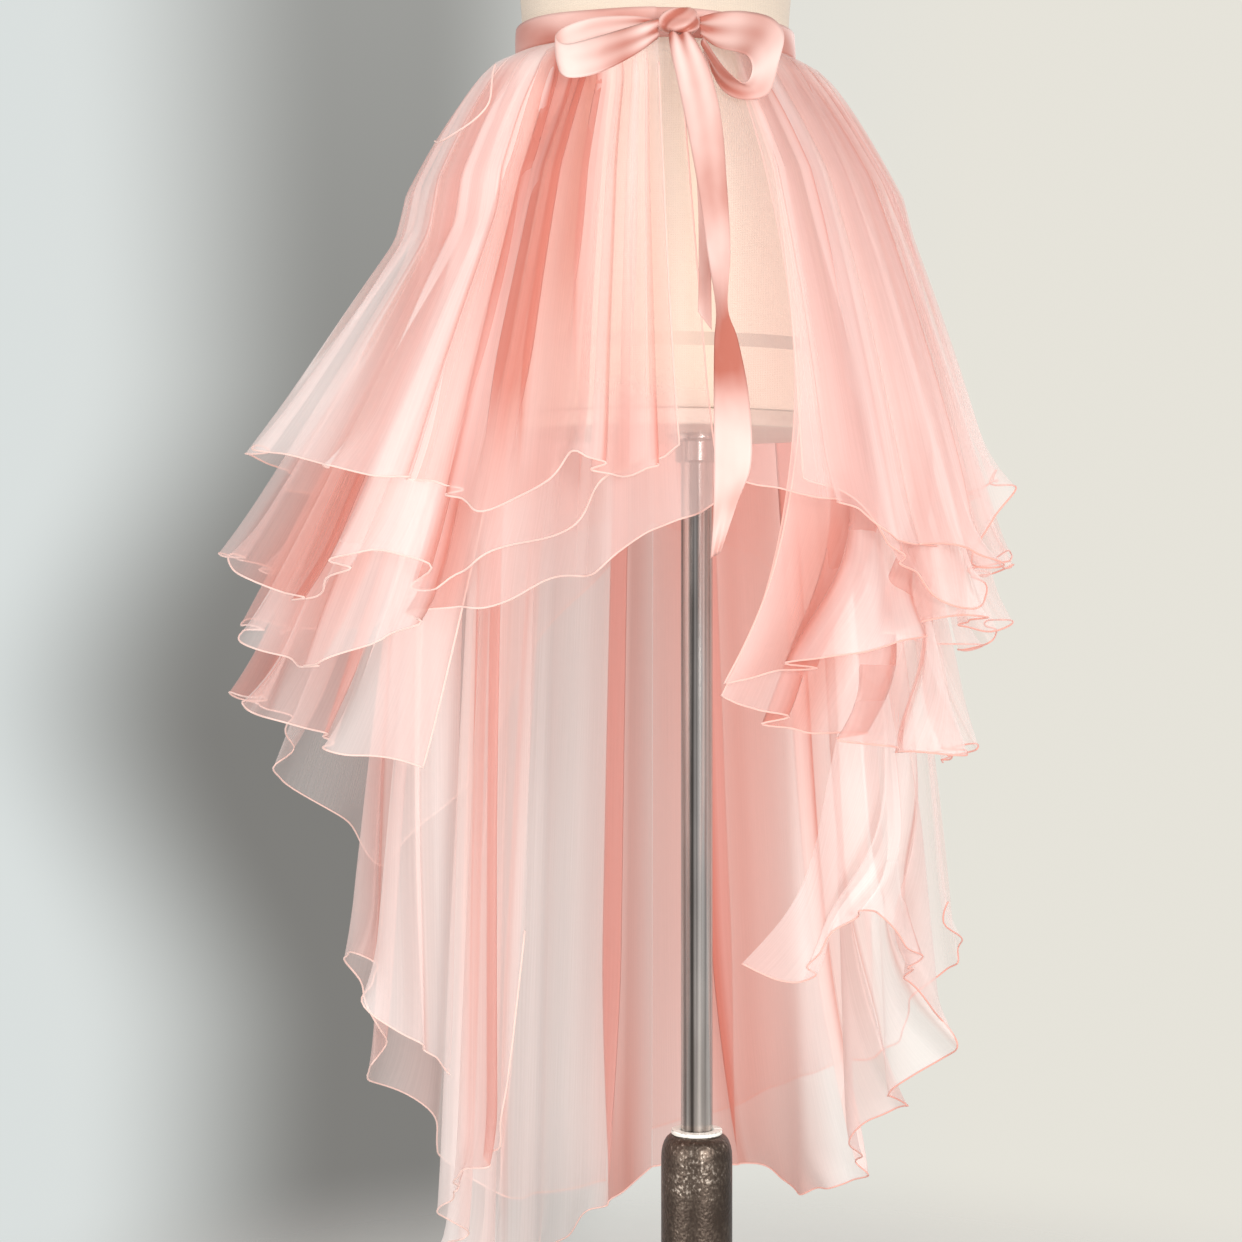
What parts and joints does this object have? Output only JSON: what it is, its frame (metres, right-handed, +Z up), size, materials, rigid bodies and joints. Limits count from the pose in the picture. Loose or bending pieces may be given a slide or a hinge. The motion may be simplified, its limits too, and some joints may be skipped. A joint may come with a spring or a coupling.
{
  "type": "ruffled skirt on a dress form and stand",
  "caption": "Sheer ruffled high-low overskirt in tiers with a satin waistband and bow, on a limbless dress form with a pole stand and round base.",
  "frame": {"origin": "centre of the stand's round underside, on the pole's axis, on the surface the stand rests on", "axes": "+Z up along the pole, -Y towards the front of the skirt, +X towards the viewer's right as seen from the front"},
  "size_m": [0.6928, 0.5729, 1.6463],
  "materials": {
    "organza": "sheer pink organza with a soft sheen and narrow rolled hems",
    "satin": "glossy pink satin ribbon",
    "linen": "cream linen cover drawn over the form",
    "board": "satin varnish",
    "steel": "brushed lengthwise",
    "bronze": "dark bronze hammered enamel, scuffed",
    "ivory_plastic": "matte ivory"
  },
  "bodies": {
    "root": {"overlay_left": "organza", "overlay_right": "organza", "second_flounce_left": "organza", "second_flounce_right": "organza", "third_flounce_left": "organza", "third_flounce_right": "organza", "side_flounce_left": "organza", "side_flounce_right": "organza", "train_side_left": "organza", "train_side_right": "organza", "train_back_left": "organza", "train_back_right": "organza", "waistband": "satin", "bow_knot": "satin", "bow_loop_left": "satin", "bow_loop_right": "satin", "bow_tail_front": "satin", "bow_tail_back": "satin", "form_torso": "linen", "form_neck_cap": "board", "form_bottom_board": "board", "pole": "steel", "stand_lower_tube": "bronze", "tube_collar": "ivory_plastic", "stand_base": "bronze"}
  },
  "joints": []
}
